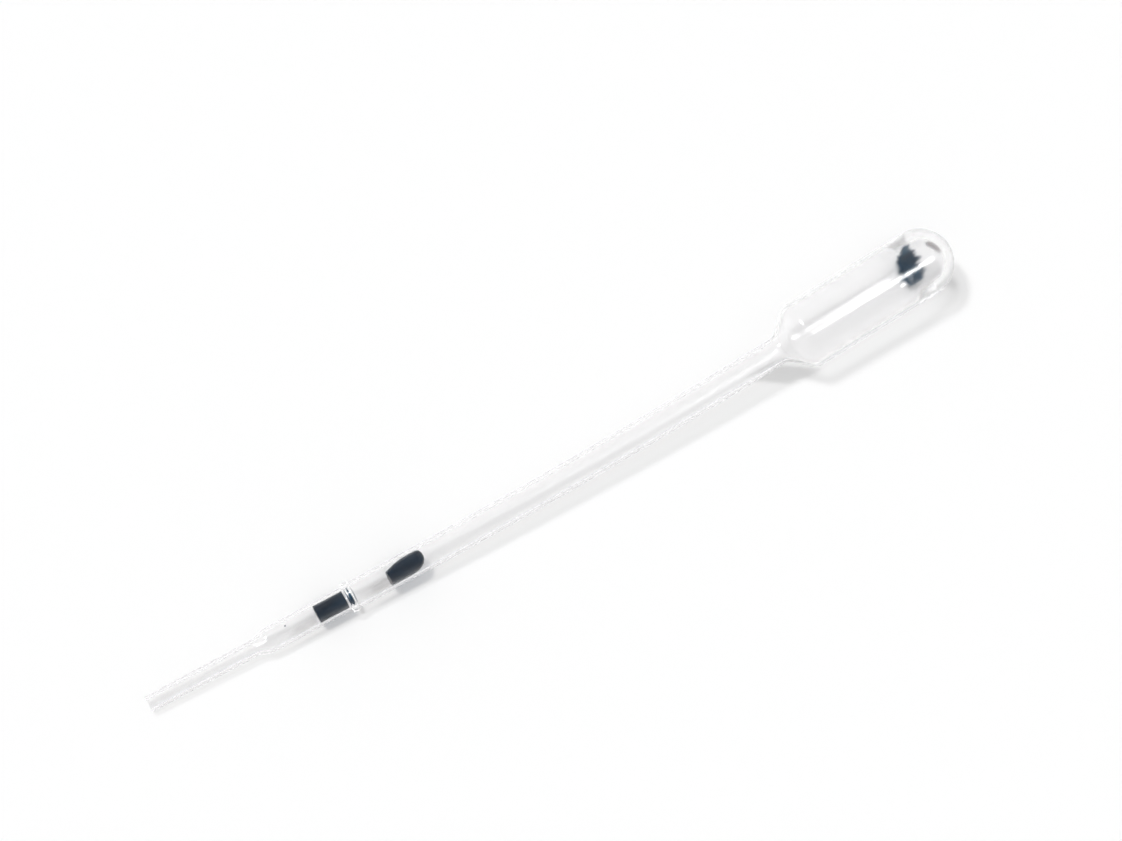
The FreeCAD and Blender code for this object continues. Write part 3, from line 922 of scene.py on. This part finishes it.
def ink_material(finishes):
    """Deep ink, bluer where it thins out towards its rims."""
    material, nodes, links, output = new_material("ink")
    shader = nodes.new("ShaderNodeBsdfPrincipled")
    thin = add_rise(nodes, links, add_layer_value(nodes, "cover"), 0.5, 1.0, 1.0, 0.0)
    cloud = add_streaks(nodes, INK_STREAKS)
    tint = add_math(nodes, links, "MULTIPLY", thin, 0.7)
    tint = add_math(nodes, links, "MAXIMUM", tint, add_math(nodes, links, "MULTIPLY", cloud, 0.22))
    tint = add_blend(nodes, links, tint, finishes.ink, finishes.thin_ink)
    links.new(tint, shader.inputs["Base Color"])
    links.new(add_rise(nodes, links, cloud, 0.0, 1.0, 0.1, 0.2), shader.inputs["Roughness"])
    shader.inputs["Specular IOR Level"].default_value = INK_SHINE
    clear = nodes.new("ShaderNodeBsdfTransparent")
    clear.inputs["Color"].default_value = (*INK_SHADOW, 1)
    shadow_mix(nodes, links, shader, clear, output)
    return material


def film_material(finishes):
    """Ink that thins out to nothing at a ragged edge."""
    material, nodes, links, output = new_material("ink_film")
    shader = nodes.new("ShaderNodeBsdfPrincipled")
    shader.inputs["Specular IOR Level"].default_value = FILM_SHINE
    cover = add_layer_value(nodes, "cover")
    cloud = add_streaks(nodes, FILM_STREAKS)
    full = add_math(nodes, links, "MULTIPLY", cloud, 0.3)
    full = add_rise(nodes, links, add_math(nodes, links, "ADD", cover, full), 0.55, 1.6)
    tint = add_blend(nodes, links, full, finishes.thin_ink, finishes.ink)
    links.new(tint, shader.inputs["Base Color"])
    shader.inputs["Roughness"].default_value = FILM_ROUGHNESS
    ragged = add_math(nodes, links, "MULTIPLY", cloud, 0.35)
    ragged = add_math(nodes, links, "ADD", cover, ragged)
    links.new(add_rise(nodes, links, ragged, 0.15, 0.8), shader.inputs["Alpha"])
    links.new(shader.outputs[0], output.inputs["Surface"])
    return material


def shade_veil_material(finishes):
    """Grey veil of painted shade: the ink's shadow and reflection on the bore, and the darker
    surroundings that the dome reflects.
    """
    material, nodes, links, output = new_material("ink_shade_veil")
    shader = nodes.new("ShaderNodeBsdfPrincipled")
    shader.inputs["Base Color"].default_value = (*finishes.shade_veil, 1)
    cloud = add_streaks(nodes, SHADE_VEIL_STREAKS)
    veil = add_rise(nodes, links, cloud, 0.0, 1.0, 0.6, 1.0)
    veil = add_math(nodes, links, "MULTIPLY", add_layer_value(nodes, "cover"), veil)
    links.new(veil, shader.inputs["Alpha"])
    links.new(add_rise(nodes, links, cloud, 0.0, 1.0, 0.35, 0.6), shader.inputs["Roughness"])
    links.new(shader.outputs[0], output.inputs["Surface"])
    return material


def floor_material(finishes):
    """Pale floor that shows a little brighter than it lights, and keeps its shadows."""
    material, nodes, links, output = new_material("pale_floor")
    matt = nodes.new("ShaderNodeBsdfPrincipled")
    matt.inputs["Base Color"].default_value = (*finishes.floor, 1)
    matt.inputs["Roughness"].default_value = 1.0
    matt.inputs["Specular IOR Level"].default_value = 0.0
    path = nodes.new("ShaderNodeLightPath")
    seen = path.outputs["Is Camera Ray"]
    for kind in ("Is Transmission Ray", "Is Glossy Ray"):
        seen = add_math(nodes, links, "MAXIMUM", seen, path.outputs[kind])
    matt.inputs["Emission Color"].default_value = (1, 1, 1, 1)
    glow = add_math(nodes, links, "MULTIPLY", seen, finishes.floor_glow)
    links.new(glow, matt.inputs["Emission Strength"])
    links.new(matt.outputs[0], output.inputs["Surface"])
    return material


def room_world(studio):
    """Light from all round, brighter towards the horizon."""
    world = bpy.data.worlds.new("room")
    world.use_nodes = True
    nodes, links = world.node_tree.nodes, world.node_tree.links
    nodes.clear()
    output = nodes.new("ShaderNodeOutputWorld")
    room = nodes.new("ShaderNodeBackground")
    room.inputs["Color"].default_value = (1, 1, 1, 1)
    way = nodes.new("ShaderNodeTexCoord")
    split = nodes.new("ShaderNodeSeparateXYZ")
    links.new(way.outputs["Generated"], split.inputs[0])
    low = add_math(nodes, links, "ABSOLUTE", split.outputs["Z"], 0.0)
    low = add_math(nodes, links, "SUBTRACT", 1.0, low)
    low = add_math(nodes, links, "POWER", low, 1.5)
    glow = nodes.new("ShaderNodeMapRange")
    links.new(low, glow.inputs["Value"])
    glow.inputs["To Min"].default_value = studio.room
    glow.inputs["To Max"].default_value = studio.horizon
    links.new(glow.outputs["Result"], room.inputs["Strength"])
    links.new(room.outputs[0], output.inputs["Surface"])
    return world


# -------------------- operators

def finish_piece(piece, material, slot, *nodes):
    """Gives a piece its finish and streak layer, ties it to the root body and hides the CAD nodes it
    stands for.
    """
    add_flow(piece.data, bpy.context.scene.pipette_sizes)
    piece.data.materials.clear()
    piece.data.materials.append(material)
    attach(piece, "root")
    for node in nodes:
        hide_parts(node)


def add_lamp(name, kind, towards, away, strength):
    """A lamp away metres out, that looks back at the pipette."""
    lamp = bpy.data.lights.new(name, kind)
    lamp.energy = strength
    item = add_object(name, lamp)
    item.rotation_mode = "QUATERNION"
    item.rotation_quaternion = towards.to_track_quat("Z", "Y")
    item.location = towards.normalized() * away
    return item


class PIPETTE_OT_studio(bpy.types.Operator):
    """Floor, lamps, room light and camera"""
    bl_idname = "pipette.studio"
    bl_label = "Studio"

    def execute(self, context):
        scene = context.scene
        studio, finishes = scene.pipette_studio, scene.pipette_finishes
        scene.view_settings.view_transform = "Standard"
        scene.cycles.caustics_reflective = False
        scene.cycles.caustics_refractive = False
        scene.cycles.transparent_max_bounces = CLEAR_FACES
        scene.cycles.max_bounces = BOUNCES
        scene.cycles.transmission_bounces = BOUNCES
        scene.cycles.glossy_bounces = BOUNCES
        reach = studio.floor_reach
        data = bpy.data.meshes.new("floor")
        corners = [(-reach, -reach, 0), (reach, -reach, 0), (reach, reach, 0), (-reach, reach, 0)]
        data.from_pydata(corners, [], [(0, 1, 2, 3)])
        data.materials.append(floor_material(finishes))
        floor = add_object("floor", data)

        key = add_lamp("key", "SUN", Vector(KEY_LIGHT), studio.lamp_distance, studio.key_strength)
        key.data.angle = studio.key_angle
        fill = add_lamp("fill", "SUN", Vector(FILL_LIGHT), studio.lamp_distance, studio.fill)
        fill.data.angle = studio.fill_angle
        fill.visible_glossy = False
        fill.visible_transmission = False
        panel = add_lamp("soft_box", "AREA", Vector(FILL_LIGHT), studio.panel_distance, studio.panel)
        towards, along = Vector(FILL_LIGHT).normalized(), Vector(MOUNTS["bulb"]["axis"])
        along = (along - towards * along.dot(towards)).normalized()
        turn = Matrix((along, towards.cross(along), towards)).transposed()
        panel.rotation_quaternion = turn.to_quaternion()
        panel.data.shape = "RECTANGLE"
        panel.data.size, panel.data.size_y = studio.panel_length, studio.panel_width
        panel.visible_diffuse = False
        panel.visible_camera = False
        panel.visible_transmission = False
        scene.world = room_world(studio)

        back = Vector((math.sin(studio.turn) * math.cos(studio.height),
                       -math.cos(studio.turn) * math.cos(studio.height), math.sin(studio.height)))
        data = bpy.data.cameras.new("camera")
        data.sensor_width = SENSOR_WIDTH
        data.lens = studio.lens
        camera = add_object("camera", data)
        camera.location = Vector(studio.target) + back * studio.distance
        camera.rotation_mode = "QUATERNION"
        camera.rotation_quaternion = (-back).to_track_quat("-Z", "Y")
        bpy.context.scene.camera = camera
        return {"FINISHED"}


class PIPETTE_OT_blown_wall(bpy.types.Operator):
    """Whole blown wall of the pipette, outside and inside, as one closed piece"""
    bl_idname = "pipette.blown_wall"
    bl_label = "Blown wall"

    def execute(self, context):
        sizes, finishes = context.scene.pipette_sizes, context.scene.pipette_finishes
        piece = lathe("blown_wall", wall_spans(sizes), sizes, sizes.sides)
        finish_piece(piece, plastic_material(finishes), "clear_plastic", "pipette")
        piece.visible_diffuse = False
        return {"FINISHED"}


class PIPETTE_OT_stem_ink(bpy.types.Operator):
    """Ink slug in the lower stem and ink drop in the main stem"""
    bl_idname = "pipette.stem_ink"
    bl_label = "Ink in the stems"

    def execute(self, context):
        scene = context.scene
        sizes, ink, finishes = scene.pipette_sizes, scene.pipette_ink, scene.pipette_finishes
        material = ink_material(finishes)
        slug = lathe("lower_slug", slug_spans(sizes, ink), sizes, ink.slug_sides)
        add_layer(slug.data, "cover", [1.0] * len(slug.data.vertices))
        finish_piece(slug, material, "ink", "lower_ink_slug")
        drop = tube("stem_drop", *drop_rings(sizes, ink))
        finish_piece(drop, material, "ink", "stem_ink_drop")
        return {"FINISHED"}


class PIPETTE_OT_bulb_ink(bpy.types.Operator):
    """Ragged film of ink round the inside of the bulb's closed end"""
    bl_idname = "pipette.bulb_ink"
    bl_label = "Ink film in the bulb"

    def execute(self, context):
        scene = context.scene
        film = make_film(scene.pipette_sizes, scene.pipette_ink)
        finish_piece(film, film_material(scene.pipette_finishes), "ink_film", "bulb_ink_puddle")
        return {"FINISHED"}


class PIPETTE_OT_marks_and_shade(bpy.types.Operator):
    """Dark crescent under the bead, painted shade on the bore and inside the dome, and a speck of ink
    """
    bl_idname = "pipette.traces"
    bl_label = "Ink traces"

    def execute(self, context):
        scene = context.scene
        sizes, ink, finishes = scene.pipette_sizes, scene.pipette_ink, scene.pipette_finishes
        film, shade_veil = film_material(finishes), shade_veil_material(finishes)
        finish_piece(make_bead_crescent(sizes, ink), film, "ink_film")
        # Painted shade: grey veils on the bore and inside the dome.
        for name, runs, across, strength in SHADE_VEILS:
            finish_piece(make_shade_veil(name, sizes, ink, runs, across, strength), shade_veil, "ink_film")
        finish_piece(make_dome_painted_shade(sizes, ink), shade_veil, "ink_film")
        for name, run, across, out, reach, seed in SPECKS:
            reach = [value * MM for value in reach]
            speck = make_speck(name, sizes, ink, run * MM, across * MM, out * MM, reach, seed)
            finish_piece(speck, film, "ink_film")
        return {"FINISHED"}


class PIPETTE_PT_maker(bpy.types.Panel):
    """Makes the pipette piece by piece"""
    bl_idname = "PIPETTE_PT_maker"
    bl_label = "Dropper pipette"
    bl_space_type = "VIEW_3D"
    bl_region_type = "UI"
    bl_category = "Pipette"

    def draw(self, context):
        for operator in OPERATORS:
            self.layout.operator(operator.bl_idname)


GROUPS = {"pipette_sizes": PipetteSizes, "pipette_ink": InkSizes,
          "pipette_finishes": Finishes, "pipette_studio": Studio}
OPERATORS = [PIPETTE_OT_studio, PIPETTE_OT_blown_wall, PIPETTE_OT_stem_ink, PIPETTE_OT_bulb_ink,
             PIPETTE_OT_marks_and_shade]


def register():
    for item in [*GROUPS.values(), *OPERATORS, PIPETTE_PT_maker]:
        bpy.utils.register_class(item)
    for name, group in GROUPS.items():
        setattr(bpy.types.Scene, name, PointerProperty(type=group))


def unregister():
    for name in GROUPS:
        delattr(bpy.types.Scene, name)
    for item in reversed([*GROUPS.values(), *OPERATORS, PIPETTE_PT_maker]):
        bpy.utils.unregister_class(item)


def main():
    register()
    bpy.ops.pipette.studio()
    bpy.ops.pipette.blown_wall()
    bpy.ops.pipette.stem_ink()
    bpy.ops.pipette.bulb_ink()
    bpy.ops.pipette.traces()


if __name__ == "__main__":
    main()
